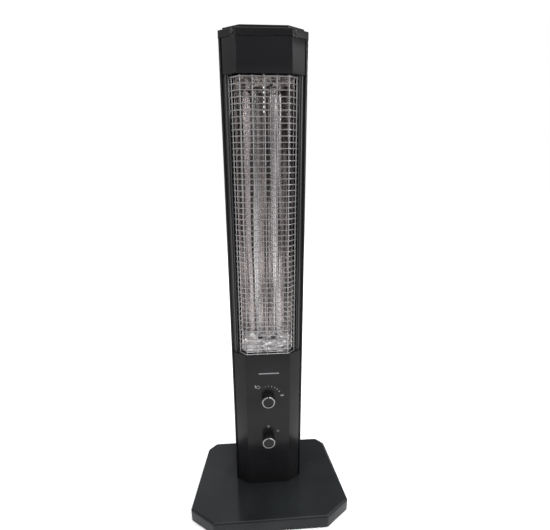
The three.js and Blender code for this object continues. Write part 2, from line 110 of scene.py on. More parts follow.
class Value:
    """One number inside a finish. Arithmetic on it adds Math nodes to the finish."""

    def __init__(self, finish, socket):
        self.finish = finish
        self.socket = socket

    def math(self, operation, first, second):
        return self.finish.node("ShaderNodeMath", {"operation": operation}, {0: first, 1: second})

    def __add__(self, other):
        return self.math("ADD", self, other)

    __radd__ = __add__

    def __mul__(self, other):
        return self.math("MULTIPLY", self, other)

    __rmul__ = __mul__


# Places of the two colours and of the result among a Mix node's sockets.
COLOUR_A = 6
COLOUR_B = 7
COLOUR_RESULT = 2


class Finish:
    """A surface finish under construction, on one shader.

    Textures lie on the Object coordinates, so their scales count grains per metre.
    """

    def __init__(self, name, **shader_sockets):
        self.material = bpy.data.materials.new(name)
        self.material.use_nodes = True
        self.tree = self.material.node_tree
        self.shader = self.tree.nodes["Principled BSDF"]
        self.set(**shader_sockets)

    def node(self, kind, settings=(), sockets=(), output=0):
        made = self.tree.nodes.new(kind)
        for setting, value in dict(settings).items():
            if setting == "stops":
                for element, (position, shade) in zip(made.color_ramp.elements, value):
                    element.position = position
                    element.color = (shade, shade, shade, 1.0)
            else:
                setattr(made, setting, value)
        for socket, value in dict(sockets).items():
            self.feed(made.inputs[socket], value)
        return Value(self, made.outputs[output])

    def feed(self, socket, value):
        if isinstance(value, Value):
            self.tree.links.new(value.socket, socket)
        elif socket.type == "RGBA":
            socket.default_value = (*value, 1.0)
        else:
            socket.default_value = value

    def set(self, **shader_sockets):
        for words, value in shader_sockets.items():
            self.feed(self.shader.inputs[words.replace("_", " ")], value)
        return self

    def grain(self, scale, detail=3.0, rough=0.5, stretch=(1.0, 1.0, 1.0)):
        place = self.node("ShaderNodeTexCoord", output="Object")
        place = self.node("ShaderNodeMapping", sockets={"Vector": place, "Scale": stretch})
        return self.node(
            "ShaderNodeTexNoise",
            sockets={"Vector": place, "Scale": scale, "Detail": detail, "Roughness": rough},
        )

    def cells(self, scale, feature="F1", stretch=(1.0, 1.0, 1.0)):
        place = self.node("ShaderNodeTexCoord", output="Object")
        place = self.node("ShaderNodeMapping", sockets={"Vector": place, "Scale": stretch})
        return self.node(
            "ShaderNodeTexVoronoi", {"feature": feature}, {"Vector": place, "Scale": scale}
        )

    def step(self, value, low, high):
        return self.node("ShaderNodeValToRGB", {"stops": [(low, 0.0), (high, 1.0)]}, {0: value})

    def mix(self, factor, first, second):
        return self.node(
            "ShaderNodeMix",
            {"data_type": "RGBA"},
            {"Factor": factor, COLOUR_A: first, COLOUR_B: second},
            output=COLOUR_RESULT,
        )

    def relief(self, height, depth, strength=1.0):
        normal = self.node(
            "ShaderNodeBump", sockets={"Height": height, "Distance": depth, "Strength": strength}
        )
        return self.set(Normal=normal)


def new_piece(name, vertices, faces, finish=None):
    """A mesh from points in millimetres, with its faces turned outwards."""
    mesh = bpy.data.meshes.new(name)
    mesh.from_pydata([Vector(v) * MM for v in vertices], [], faces)
    work = bmesh.new()
    work.from_mesh(mesh)
    bmesh.ops.remove_doubles(work, verts=work.verts, dist=1e-7)
    bmesh.ops.recalc_face_normals(work, faces=work.faces)
    work.to_mesh(mesh)
    work.free()
    piece = show(bpy.data.objects.new(name, mesh))
    if finish:
        mesh.materials.append(finish.material)
    return piece


floor_finish = Finish("studio_floor", Roughness=0.75, Specular_IOR_Level=0.1)
floor_finish.set(
    Base_Color=floor_finish.mix(floor_finish.grain(1.5), (0.90, 0.90, 0.90), (0.93, 0.93, 0.93))
)
FLOOR_HALF = 9000
floor = new_piece(
    "studio_floor",
    [(-FLOOR_HALF, -FLOOR_HALF, 0), (FLOOR_HALF, -FLOOR_HALF, 0), (FLOOR_HALF, FLOOR_HALF, 0),
     (-FLOOR_HALF, FLOOR_HALF, 0)],
    [(0, 1, 2, 3)],
    floor_finish,
)

room = bpy.data.worlds.new("room")
room.use_nodes = True
room_nodes = room.node_tree.nodes
room_light = room_nodes["Background"]
seen_directly = room_nodes.new("ShaderNodeLightPath").outputs["Is Camera Ray"]
room_shade = room_nodes.new("ShaderNodeMix")
room_shade.data_type = "RGBA"
room_shade.inputs[COLOUR_A].default_value = ROOM_IN_REFLECTIONS
room_shade.inputs[COLOUR_B].default_value = ROOM_SEEN
room.node_tree.links.new(seen_directly, room_shade.inputs["Factor"])
room.node_tree.links.new(room_shade.outputs[COLOUR_RESULT], room_light.inputs["Color"])
scene.world = room

# ---- Base -----------------------------------------------------------------------------------
# The foot is a pressed steel cover with chamfered front corners, powder coated gloss black.
# It hides a cast cement weight, and a zinc plated plate closes it below.
base_paint = Finish("base_paint", Specular_IOR_Level=0.13)
smudges = base_paint.grain(14.0, 4.0)
base_paint.set(
    Base_Color=base_paint.mix(
        base_paint.step(smudges * base_paint.grain(2.0), 0.2, 0.42),
        (0.0092, 0.0103, 0.0112),
        (0.0140, 0.0155, 0.0167),
    ),
    Roughness=0.10 + base_paint.grain(35.0, 3.0) * 0.08,
)
base_paint.relief(base_paint.grain(480.0, 2.0), 0.00012, 0.35)


def rounded_outline(corners, radius, steps, closed=True):
    """A line of (x, y) points with each corner replaced by an arc of steps + 1 points.

    A corner's third number, where it has one, is its own radius.
    """
    count = len(corners)
    line = []
    for i, corner in enumerate(corners):
        here = Vector(corner[:2])
        size = corner[2] if len(corner) > 2 else radius
        if not closed and i in (0, count - 1):
            line.append(tuple(here))
            continue
        before = (Vector(corners[i - 1][:2]) - here).normalized()
        after = (Vector(corners[(i + 1) % count][:2]) - here).normalized()
        half = before.angle(after) / 2
        reach = size / math.tan(half)
        centre = here + (before + after).normalized() * size / math.sin(half)
        start = here + before * reach - centre
        end = here + after * reach - centre
        sweep = start.angle_signed(end)
        for step in range(steps + 1):
            arm = start.copy()
            arm.rotate(Matrix.Rotation(-sweep * step / steps, 2))
            line.append(tuple(centre + arm))
    return line


def inset(line, distance):
    """A closed line moved to its left by a distance, with mitred corners."""
    count = len(line)
    moved = []
    for i in range(count):
        here = Vector(line[i])
        before = (here - Vector(line[i - 1])).normalized()
        after = (Vector(line[(i + 1) % count]) - here).normalized()
        left = Vector((-before.y - after.y, before.x + after.x)).normalized()
        lean = left.dot(Vector((-after.y, after.x)))
        moved.append(tuple(here + left * distance / lean))
    return moved


def stacked(name, rings, finish, close_low=False):
    """A skin through (outline, height) rings of equal length, closed at the top."""
    vertices = [(x, y, z) for line, z in rings for x, y in line]
    count = len(rings[0][0])
    faces = []
    for level in range(len(rings) - 1):
        for i in range(count):
            j = (i + 1) % count
            low, high = level * count, (level + 1) * count
            faces.append((low + i, low + j, high + j, high + i))
    last = (len(rings) - 1) * count
    faces.append(tuple(range(last, last + count)))
    if close_low:
        faces.append(tuple(reversed(range(count))))
    mesh = bpy.data.meshes.new(name)
    mesh.from_pydata([Vector(v) * MM for v in vertices], [], faces)
    mesh.materials.append(finish.material)
    return show(bpy.data.objects.new(name, mesh))


def finished(piece, sheet=0.0, edge=0.0, segments=2, smooth=32.0):
    """Gives a skin its sheet thickness and soft edges, and makes the result plain mesh."""
    if sheet:
        wall = piece.modifiers.new("sheet", "SOLIDIFY")
        wall.thickness = sheet * MM
        wall.offset = -1.0
        wall.use_even_offset = True
    if edge:
        soft = piece.modifiers.new("edges", "BEVEL")
        soft.width = edge * MM
        soft.segments = segments
        soft.limit_method = "ANGLE"
        soft.angle_limit = math.radians(40.0)
    plain = bpy.data.meshes.new_from_object(
        piece.evaluated_get(bpy.context.evaluated_depsgraph_get())
    )
    piece.modifiers.clear()
    piece.data = plain
    plain.shade_smooth()
    plain.set_sharp_from_angle(angle=math.radians(smooth))
    return piece


def mirrored_line(line):
    return [(-x, *rest) for x, *rest in reversed(line)]


def settle(piece, slot, *nodes, body="heater"):
    """Puts a finished piece in the place of its CAD nodes."""
    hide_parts(*nodes)
    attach(piece, body)
    return piece


base_low, base_high = (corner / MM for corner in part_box("base_cover"))
BASE_ROUND = 5.0
BASE_SHEET = 2.0
BASE_ARC_STEPS = 5
FRONT_CUT = (60.5, 43.5)
REAR_CUT = (22.5, 20.5)
REAR_TAPER = 24.5
base_right = [
    (base_high.x - FRONT_CUT[0], base_low.y, 10),
    (base_high.x, base_low.y + FRONT_CUT[1], 7),
    (base_high.x - REAR_TAPER, base_high.y - REAR_CUT[1], 16),
    (base_high.x - REAR_TAPER - REAR_CUT[0], base_high.y, 14),
]
base_plan = rounded_outline(base_right + mirrored_line(base_right), 0.0, BASE_ARC_STEPS)
base_rings = [(base_plan, base_low.z), (base_plan, base_high.z - BASE_ROUND)]
for step in range(1, BASE_ARC_STEPS + 1):
    turn = step / BASE_ARC_STEPS * math.pi / 2
    drop = BASE_ROUND * (1 - math.sin(turn))
    base_rings.append(
        (inset(base_plan, BASE_ROUND * (1 - math.cos(turn))), base_high.z - drop)
    )
base_rings.append((inset(base_plan, BASE_ROUND + 1.5), base_high.z))
base_cover = finished(stacked("pressed_base_cover", base_rings, base_paint), sheet=BASE_SHEET)
settle(base_cover, "base_paint", "base_cover")

cement = Finish("cast_cement", Specular_IOR_Level=0.2)
pits = cement.cells(260.0)
cement.set(
    Base_Color=cement.mix(cement.grain(30.0, 5.0, 0.7), (0.20, 0.19, 0.175), (0.38, 0.37, 0.35)),
    Roughness=0.8 + cement.grain(90.0) * 0.15,
)
cement.relief(cement.grain(160.0, 5.0, 0.7) + pits * 0.4, 0.0012, 0.7)

zinc_steel = Finish("zinc_plated_steel", Metallic=1.0)
spangle = zinc_steel.cells(150.0)
zinc_steel.set(
    Base_Color=zinc_steel.mix(spangle, (0.56, 0.57, 0.58), (0.70, 0.71, 0.71)),
    Roughness=0.30 + zinc_steel.grain(60.0, 4.0) * 0.22,
)
zinc_steel.relief(zinc_steel.grain(420.0, 3.0), 0.0001, 0.4)


def paint_nodes(finish, *names):
    for name in names:
        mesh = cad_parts[name].data
        mesh.materials.clear()
        mesh.materials.append(finish.material)


paint_nodes(cement, "ballast_block")
paint_nodes(
    zinc_steel, "bottom_plate", "column_bracket", "column_bolt_front_left",
    "column_bolt_front_right", "column_bolt_rear_left", "column_bolt_rear_right",
)

# ---- Feet -----------------------------------------------------------------------------------
# Four moulded rubber feet stand under the base. Each has a stud that goes up through the
# bottom plate into the cement weight.
black_rubber = Finish("black_rubber", Specular_IOR_Level=0.3)
black_rubber.set(
    Base_Color=black_rubber.mix(
        black_rubber.grain(90.0, 4.0), (0.013, 0.013, 0.013), (0.026, 0.025, 0.025)
    ),
    Roughness=0.62 + black_rubber.grain(50.0) * 0.2,
)
black_rubber.relief(black_rubber.grain(700.0, 3.0), 0.00018, 0.6)


def turned(name, profile, steps, finish=None):
    """A turned solid round Z from (radius, height) points that run up its outside."""
    vertices, faces = [], []
    for radius, height in profile:
        for step in range(steps):
            angle = math.tau * step / steps
            vertices.append((radius * math.cos(angle), radius * math.sin(angle), height))
    for level in range(len(profile) - 1):
        for i in range(steps):
            j = (i + 1) % steps
            low, high = level * steps, (level + 1) * steps
            faces.append((low + i, low + j, high + j, high + i))
    if profile[0] != profile[-1]:
        faces.append(tuple(reversed(range(steps))))
        faces.append(tuple(range(len(vertices) - steps, len(vertices))))
    return new_piece(name, vertices, faces, finish)


class Recipe:
    """A Geometry Nodes tree under construction, with its sizes as named inputs."""

    def __init__(self, name):
        self.tree = bpy.data.node_groups.new(name, "GeometryNodeTree")
        self.tree.interface.new_socket(
            "Geometry", in_out="OUTPUT", socket_type="NodeSocketGeometry"
        )
        self.entry = self.tree.nodes.new("NodeGroupInput")
        self.sizes = {}

    def size(self, name, value, kind="Float"):
        socket = self.tree.interface.new_socket(
            name, in_out="INPUT", socket_type="NodeSocket" + kind
        )
        self.sizes[socket.identifier] = value
        return self.entry.outputs[name]

    def node(self, kind, settings=(), sockets=(), output=0):
        made = self.tree.nodes.new(kind)
        for setting, value in dict(settings).items():
            setattr(made, setting, value)
        for socket, value in dict(sockets).items():
            if isinstance(value, bpy.types.NodeSocket):
                self.tree.links.new(value, made.inputs[socket])
            else:
                made.inputs[socket].default_value = value
        return made.outputs[output]

    def made(self, name, geometry, finish):
        real = self.node("GeometryNodeRealizeInstances", sockets={"Geometry": geometry})
        real = self.node(
            "GeometryNodeSetMaterial", sockets={"Geometry": real, "Material": finish.material}
        )
        end = self.tree.nodes.new("NodeGroupOutput")
        self.tree.links.new(real, end.inputs["Geometry"])
        piece = show(bpy.data.objects.new(name, bpy.data.meshes.new(name)))
        recipe = piece.modifiers.new("recipe", "NODES")
        recipe.node_group = self.tree
        for identifier, value in self.sizes.items():
            recipe[identifier] = value
        plain = bpy.data.meshes.new_from_object(
            piece.evaluated_get(bpy.context.evaluated_depsgraph_get())
        )
        piece.modifiers.remove(recipe)
        piece.data = plain
        plain.shade_smooth()
        plain.set_sharp_from_angle(angle=math.radians(35.0))
        return piece


foot_low, foot_high = (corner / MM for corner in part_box("foot_front_left"))
PAD_HEIGHT = 4.2
STUD_RADIUS = 3.0
foot_profile = [
    (14.0, 0.0), (15.3, 0.3), (15.9, 0.9), (16.0, 1.6), (15.7, 3.0), (15.1, PAD_HEIGHT - 0.1),
    (14.8, PAD_HEIGHT), (STUD_RADIUS, PAD_HEIGHT), (STUD_RADIUS, foot_high.z - 0.6),
    (STUD_RADIUS - 0.4, foot_high.z),
]
foot_pattern = turned("foot_pattern", foot_profile, 40)


def placed_copies(name, pattern, places, finish):
    """Copies of a pattern at (x, y, z, turn) places in millimetres, then the pattern goes."""
    spots = new_piece(name + "_spots", [place[:3] for place in places], [])
    turns = spots.data.attributes.new("turn", "FLOAT_VECTOR", "POINT")
    for spot, place in zip(turns.data, places):
        spot.vector = place[3]
    recipe = Recipe(name)
    size = recipe.size("Size", 1.0)
    shape = recipe.node("GeometryNodeObjectInfo", sockets={"Object": pattern}, output="Geometry")
    points = recipe.node("GeometryNodeObjectInfo", sockets={"Object": spots}, output="Geometry")
    turn = recipe.node(
        "GeometryNodeInputNamedAttribute", {"data_type": "FLOAT_VECTOR"}, {"Name": "turn"}
    )
    copies = recipe.node(
        "GeometryNodeInstanceOnPoints",
        sockets={"Points": points, "Instance": shape, "Rotation": turn, "Scale": size},
        output="Instances",
    )
    piece = recipe.made(name, copies, finish)
    for used in (pattern, spots):
        bpy.data.objects.remove(used)
    return piece


def middle(node):
    low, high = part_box(node)
    return (low + high) / 2 / MM


FOOT_NODES = ["foot_front_left", "foot_front_right", "foot_rear_left", "foot_rear_right"]
foot_places = [(middle(name).x, middle(name).y, 0.0, (0.0, 0.0, 0.0)) for name in FOOT_NODES]
feet = placed_copies("rubber_feet", foot_pattern, foot_places, black_rubber)
settle(feet, "black_rubber", *FOOT_NODES)

# ---- Column panels --------------------------------------------------------------------------
# Four folded sheet steel skins, 1.2 mm thick, in gloss black paint: two sides with a narrow
# lip in front, the control panel below the window and the head panel above it.
black_paint = Finish("black_paint", Specular_IOR_Level=0.15)
film = black_paint.grain(9.0, 4.0)
black_paint.set(
    Base_Color=black_paint.mix(
        black_paint.step(film * black_paint.grain(1.6), 0.2, 0.4),
        (0.0072, 0.0068, 0.0076),
        (0.0110, 0.0105, 0.0116),
    ),
    Roughness=0.19 + black_paint.grain(28.0, 3.0) * 0.08,
)
black_paint.relief(black_paint.grain(430.0, 2.0), 0.00004, 0.3)

FRONT_Y = -21.0
FLAT_HALF = 54.0
SLOPE = 0.665
SIDE_X = 87.0
BACK_Y = 94.0
BACK_CORNER = 10.0
PANEL_EDGE = 80.8
LIP_EDGE = 83.4
SHEET = 1.2
FOLD = 1.7


def chamfer_y(x):
    return FRONT_Y + (abs(x) - FLAT_HALF) * SLOPE


def folded_sheet(name, line, low, high, finish, thickness=SHEET, fold=FOLD):
    """An upright sheet folded along an open line of (x, y) corners, its wall to the left."""
    outer = rounded_outline(line, fold, 4, closed=False)
    padded = [Vector(outer[0]) * 2 - Vector(outer[1]), *outer]
    padded.append(Vector(outer[-1]) * 2 - Vector(outer[-2]))
    inner = inset(padded, thickness)[1:-1]
    count = len(outer)
    rows = [(outer, low), (inner, low), (outer, high), (inner, high)]
    vertices = [(x, y, z) for points, z in rows for x, y in points]
    faces = [(0, 2 * count, 3 * count, count)]
    faces.append((count - 1, 2 * count - 1, 4 * count - 1, 3 * count - 1))
    for i in range(count - 1):
        for first, second in ((0, 2), (1, 3), (0, 1), (2, 3)):
            a, b = first * count + i, second * count + i
            faces.append((a, a + 1, b + 1, b))
    return finished(new_piece(name, vertices, faces, finish), edge=0.3)


def joined(name, *parts):
    """One piece from several, in the place of the first."""
    with bpy.context.temp_override(
        active_object=parts[0], selected_editable_objects=list(parts), object=parts[0]
    ):
        bpy.ops.object.join()
    parts[0].name = name
    return parts[0]


FLANGE_EDGE = 52.0
side_low, side_high = (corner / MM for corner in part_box("side_panel_right"))
side_right = [
    (LIP_EDGE, chamfer_y(LIP_EDGE)), (SIDE_X, chamfer_y(SIDE_X), 1.2),
    (SIDE_X, BACK_Y - BACK_CORNER), (SIDE_X - BACK_CORNER, BACK_Y), (FLANGE_EDGE, BACK_Y),
]
for side_name, side_line in (
    ("side_panel_left", mirrored_line(side_right)), ("side_panel_right", side_right),
):
    panel = folded_sheet(side_name + "_skin", side_line, side_low.z, side_high.z, black_paint)
    settle(panel, "black_paint", side_name)

PANEL_RETURN = 6
SHELF_HALF = 66.0
SHELF_BACK_Y = -8.0
front_right = [
    (FLAT_HALF, FRONT_Y), (PANEL_EDGE, chamfer_y(PANEL_EDGE), 1.3),
    (PANEL_EDGE, chamfer_y(PANEL_EDGE) + PANEL_RETURN),
]
front_line = mirrored_line(front_right) + front_right
shelf_right = [
    (FLAT_HALF, FRONT_Y + 0.9), (SHELF_HALF, chamfer_y(SHELF_HALF) + 1.0),
    (SHELF_HALF, SHELF_BACK_Y),
]
shelf_plan = mirrored_line(shelf_right) + shelf_right


def window_shelf(name, low, high):
    rings = [(shelf_plan, low), (shelf_plan, high)]
    return finished(stacked(name, rings, black_paint, close_low=True), edge=0.3)


window_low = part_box("control_panel")[1].z / MM
window_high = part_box("head_panel")[0].z / MM
control_panel = joined(
    "control_panel_skin",
    folded_sheet("control_skin", front_line, side_low.z, window_low, black_paint),
    window_shelf("control_shelf", window_low - SHEET, window_low),
)
settle(control_panel, "black_paint", "control_panel")
head_panel = joined(
    "head_panel_skin",
    folded_sheet("head_skin", front_line, window_high, side_high.z, black_paint),
    window_shelf("head_shelf", window_high, window_high + SHEET),
)
settle(head_panel, "black_paint", "head_panel")

# ---- Chassis rails --------------------------------------------------------------------------
# Two rolled steel rails stand inside the side panels. Their front ridges show as thin upright
# lines beside the guard, in a satin chassis paint.
chassis_paint = Finish("chassis_paint", Specular_IOR_Level=0.45)
chassis_paint.set(
    Base_Color=chassis_paint.mix(
        chassis_paint.grain(20.0, 4.0), (0.013, 0.0125, 0.013), (0.022, 0.021, 0.022)
    ),
    Roughness=0.30 + chassis_paint.grain(45.0) * 0.16,
)
chassis_paint.relief(chassis_paint.grain(520.0, 2.0), 0.00012, 0.4)

RIDGE_DEPTH = 2.2
RIDGE_INNER = 74.3
RIDGE_OUTER = 77.3
RAIL_INNER = 70.0
RAIL_OUTER = 84.9
rail_low, rail_high = (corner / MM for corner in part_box("rail_right"))
rail_right = [
    (RAIL_INNER, 24.0), (RAIL_INNER, -4.0, 0.4), (RIDGE_INNER, -1.1, 0.4),
    (RIDGE_INNER, chamfer_y(RIDGE_INNER) + RIDGE_DEPTH, 0.6),
    (RIDGE_OUTER, chamfer_y(RIDGE_OUTER) + RIDGE_DEPTH, 0.6),
    (RIDGE_OUTER, 6.0, 0.6), (RAIL_OUTER, 6.0, 1.2), (RAIL_OUTER, 28.0),
]
for rail_name, rail_line in (
    ("rail_left", mirrored_line(rail_right)), ("rail_right", rail_right),
):
    rail = folded_sheet(rail_name + "_rolled", rail_line, rail_low.z, rail_high.z, chassis_paint)
    settle(rail, "chassis_paint", rail_name)

# ---- Rear cover -----------------------------------------------------------------------------
# A flat painted sheet with two groups of air slots closes the back. Six black screws hold it
# to the flanges of the side panels, and the cord gland sits in its round hole.
paint_nodes(black_paint, "rear_cover")

black_screw = Finish("black_oxide_screw", Metallic=0.7, Specular_IOR_Level=0.5)
black_screw.set(
    Base_Color=black_screw.mix(
        black_screw.grain(300.0, 3.0), (0.020, 0.020, 0.021), (0.052, 0.051, 0.050)
    ),
    Roughness=0.28 + black_screw.grain(160.0) * 0.2,
)
black_screw.relief(black_screw.grain(900.0, 2.0), 0.00005, 0.4)


RECESS_SLIM = 0.28
RECESS_DEPTH = 1.1


def screw_pattern(name, profile, recess):
    """A screw that stands on Z, with a cross recess in its head."""
    screw = turned(name, profile, 28)
    top = profile[-1][1]
    for width, depth in ((recess, recess * RECESS_SLIM), (recess * RECESS_SLIM, recess)):
        tool = new_piece(
            "recess_tool",
            [(x * width / 2, y * depth / 2, top + z)
             for z in (-RECESS_DEPTH, 1.0) for x, y in ((-1, -1), (1, -1), (1, 1), (-1, 1))],
            [(0, 1, 2, 3), (4, 5, 6, 7), (0, 1, 5, 4), (1, 2, 6, 5), (2, 3, 7, 6), (3, 0, 4, 7)],
        )
        drive = screw.modifiers.new("recess", "BOOLEAN")
        drive.operation = "DIFFERENCE"
        drive.solver = "EXACT"
        drive.object = tool
        finished(screw)
        bpy.data.objects.remove(tool)
    return screw


REAR_SCREW = [
    (1.7, 0.0), (1.7, 10.0), (3.5, 10.0), (3.65, 10.35), (3.5, 11.0), (3.0, 11.7), (2.1, 12.25),
    (1.0, 12.45), (0.05, 12.5),
]
REAR_SCREW_NODES = [
    f"rear_screw_{level}_{side}"
    for level in ("low", "middle", "high")
    for side in ("left", "right")
]
rear_screw_places = [
    (middle(name).x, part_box(name)[0].y / MM, middle(name).z, (-math.pi / 2, 0.0, 0.0))
    for name in REAR_SCREW_NODES
]
rear_screws = placed_copies(
    "rear_cover_screws",
    screw_pattern("rear_screw", REAR_SCREW, 3.6),
    rear_screw_places,
    black_screw,
)
settle(rear_screws, "black_screw", *REAR_SCREW_NODES)

GLAND_PROFILE = [
    (4.5, 0.0), (7.2, 0.0), (7.6, 0.5), (7.6, 12.6), (11.1, 12.6), (11.5, 13.0), (11.2, 15.4),
    (10.6, 16.2), (8.2, 17.4), (7.5, 18.2), (6.9, 18.5), (4.9, 18.5), (4.5, 18.0), (4.5, 0.0),
]
gland = turned("cord_gland_moulded", GLAND_PROFILE, 48, black_rubber)
gland.data.transform(
    Matrix.Translation(Vector((0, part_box("cord_gland")[0].y, middle("cord_gland").z * MM)))
    @ Matrix.Rotation(-math.pi / 2, 4, "X")
)
settle(finished(gland), "black_rubber", "cord_gland")

# ---- Cap ------------------------------------------------------------------------------------
# A pressed lid with a raised crown drops over the column. One screw in each chamfered face
# holds it to a zinc plated tab. Its paint is more satin than the panels'.
cap_paint = Finish("cap_paint", Specular_IOR_Level=0.15)
cap_paint.set(
    Base_Color=cap_paint.mix(
        cap_paint.grain(12.0, 4.0), (0.0048, 0.0048, 0.0052), (0.0080, 0.0079, 0.0085)
    ),
    Roughness=0.26 + cap_paint.grain(40.0) * 0.10,
)
cap_paint.relief(cap_paint.grain(500.0, 2.0), 0.00012, 0.4)

CROWN_RISE = 5.0
CAP_ROUND = 1.8
CROWN_ROUND = 1.6
CAP_ARC_STEPS = 3
CAP_OVERHANG = 0.5
REAR_COVER_SKIN = 1.5
cap_low, cap_high = (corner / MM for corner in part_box("top_cap"))
shoulder = cap_high.z - CROWN_RISE
rear_skin = BACK_Y + REAR_COVER_SKIN
cap_right = [
    (FLAT_HALF, FRONT_Y), (SIDE_X, chamfer_y(SIDE_X)), (SIDE_X, rear_skin - BACK_CORNER),
    (SIDE_X - BACK_CORNER, rear_skin),
]
cap_plan = inset(
    rounded_outline(cap_right + mirrored_line(cap_right), FOLD, 4), -CAP_OVERHANG
)
crown_right = [(46.0, -18.5), (79.0, 3.5), (79.0, 80.0), (70.0, 89.0)]
crown_plan = rounded_outline(crown_right + mirrored_line(crown_right), 3.0, 4)
cap_rings = [(cap_plan, cap_low.z)]
for step in range(CAP_ARC_STEPS + 1):
    turn = step / CAP_ARC_STEPS * math.pi / 2
    cap_rings.append((
        inset(cap_plan, CAP_ROUND * (1 - math.cos(turn))),
        shoulder - CAP_ROUND * (1 - math.sin(turn)),
    ))
cap_rings.append((inset(crown_plan, -0.6), shoulder))
cap_rings.append((crown_plan, shoulder + 0.5))
for step in range(CAP_ARC_STEPS + 1):
    turn = step / CAP_ARC_STEPS * math.pi / 2
    cap_rings.append((
        inset(crown_plan, CROWN_ROUND * (1 - math.cos(turn))),
        cap_high.z - CROWN_ROUND * (1 - math.sin(turn)),
    ))
cap = finished(stacked("pressed_cap", cap_rings, cap_paint), sheet=SHEET)
settle(cap, "black_paint", "top_cap")
paint_nodes(zinc_steel, "cap_tab_left", "cap_tab_right")

CAP_SCREW = [
    (1.7, 0.0), (1.7, 9.0), (3.7, 9.0), (3.85, 9.3), (3.7, 10.0), (3.1, 10.8), (2.2, 11.35),
    (1.1, 11.55), (0.05, 11.6),
]
CAP_SCREW_X = 60.5
CAP_SCREW_SUNK = 8.1
CHAMFER_TURN = math.atan(SLOPE)
cap_screw_places = []
for side in (-1, 1):
    inwards = Vector((-side * math.sin(CHAMFER_TURN), math.cos(CHAMFER_TURN)))
    back = inwards * CAP_SCREW_SUNK
    cap_screw_places.append((
        side * CAP_SCREW_X + back.x, chamfer_y(CAP_SCREW_X) + back.y,
        middle("cap_screw_left").z, (math.pi / 2, 0.0, side * CHAMFER_TURN),
    ))
cap_screws = placed_copies(
    "cap_side_screws", screw_pattern("cap_screw", CAP_SCREW, 3.8), cap_screw_places, black_screw
)
settle(cap_screws, "black_screw", "cap_screw_left", "cap_screw_right")

# ---- Reflector ------------------------------------------------------------------------------
# Two troughs of thin bright aluminium, rolled and streaked lengthwise, stand behind the lamps; the
# light and dark streaks in their colour are a painted reflection.
# Sloped plates close the window at its foot and its head, the lower one badly crumpled.
bright_aluminium = Finish("hammered_bright_aluminium", Metallic=1.0)
hammer = bright_aluminium.cells(60.0, "SMOOTH_F1", (1.0, 1.0, 0.4))
creases = bright_aluminium.grain(75.0, 1.0, 0.5, (1.0, 1.0, 0.05))
streaks = bright_aluminium.grain(95.0, 2.0, 0.55, (1.0, 1.0, 0.035))
# Painted reflection: light and dark lengthwise streaks mixed into the base colour stand in for the
# streaked reflection of the room in the rolled sheet.
painted_reflection_streaks = bright_aluminium.step(streaks * 0.9 + bright_aluminium.grain(9.0) * 0.1, 0.43, 0.54)
bright_aluminium.set(
    Base_Color=bright_aluminium.mix(painted_reflection_streaks, (0.12, 0.109, 0.106), (0.78, 0.735, 0.725)),
    Roughness=0.20 + bright_aluminium.grain(25.0, 3.0) * 0.12,
)
bright_aluminium.relief(hammer * 0.05 + creases, 0.0008, 0.6)

crumpled_aluminium = Finish("crumpled_bright_aluminium", Metallic=1.0)
folds = crumpled_aluminium.cells(75.0, "SMOOTH_F1", (1.0, 1.0, 1.0))
crumpled_aluminium.set(
    Base_Color=crumpled_aluminium.mix(
        crumpled_aluminium.step(crumpled_aluminium.grain(60.0, 3.0), 0.36, 0.5),
        (0.36, 0.36, 0.37),
        (0.90, 0.90, 0.91),
    ),
    Roughness=0.22 + crumpled_aluminium.grain(45.0, 3.0) * 0.14,
)
crumpled_aluminium.relief(folds + crumpled_aluminium.grain(120.0, 3.0) * 0.4, 0.005, 0.7)

BRIGHT_SHEET = 0.8
TROUGH_LINE = [
    (1.3, 16.0), (2.2, 30.0, 9), (7.0, 41.0, 9), (16.0, 45.5, 12), (27.0, 44.5, 14),
    (38.0, 39.0, 16), (48.0, 28.0, 18), (56.0, 13.0, 16), (60.0, -3.0),
]
TROUGH_ROWS = 150
DENT = 0.35
DENT_WIDTH = 9
DENT_LENGTH = 80
trough_low, trough_high = (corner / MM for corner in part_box("reflector_right"))


def trough(name, side):
    """A rolled trough on a fine grid, with the long shallow dents of thin sheet."""
    front = rounded_outline(TROUGH_LINE, 10.0, 4, closed=False)
    padded = [Vector(front[0]) * 2 - Vector(front[1]), *front]
    padded.append(Vector(front[-1]) * 2 - Vector(front[-2]))
    rear = inset(padded, -BRIGHT_SHEET)[1:-1]
    rows = []
    for row in range(TROUGH_ROWS + 1):
        height = trough_low.z + (trough_high.z - trough_low.z) * row / TROUGH_ROWS
        dents = [
            noise.noise(Vector((x * side / DENT_WIDTH, y / DENT_WIDTH, height / DENT_LENGTH)))
            * DENT
            for x, y in front
        ]
        for line in (front, rear):
            rows.append([(x * side, y + dent, height) for (x, y), dent in zip(line, dents)])
    count = len(front)
    vertices = [point for row in rows for point in row]
    faces = []
    for row in range(TROUGH_ROWS):
        for skin in (0, 1):
            low = (2 * row + skin) * count
            high = low + 2 * count
            for i in range(count - 1):
                faces.append((low + i, low + i + 1, high + i + 1, high + i))
        for edge in (0, count - 1):
            low = 2 * row * count + edge
            faces.append((low, low + count, low + 3 * count, low + 2 * count))
    for row in (0, TROUGH_ROWS):
        low = 2 * row * count
        for i in range(count - 1):
            faces.append((low + i, low + i + 1, low + count + i + 1, low + count + i))
    return finished(new_piece(name, vertices, faces, bright_aluminium), smooth=50.0)


settle(trough("reflector_trough_left", -1), "bright_aluminium", "reflector_left")
settle(trough("reflector_trough_right", 1), "bright_aluminium", "reflector_right")
paint_nodes(bright_aluminium, "reflector_ceiling")
paint_nodes(crumpled_aluminium, "reflector_floor")
paint_nodes(zinc_steel, "lamp_shelf_low", "lamp_shelf_high")

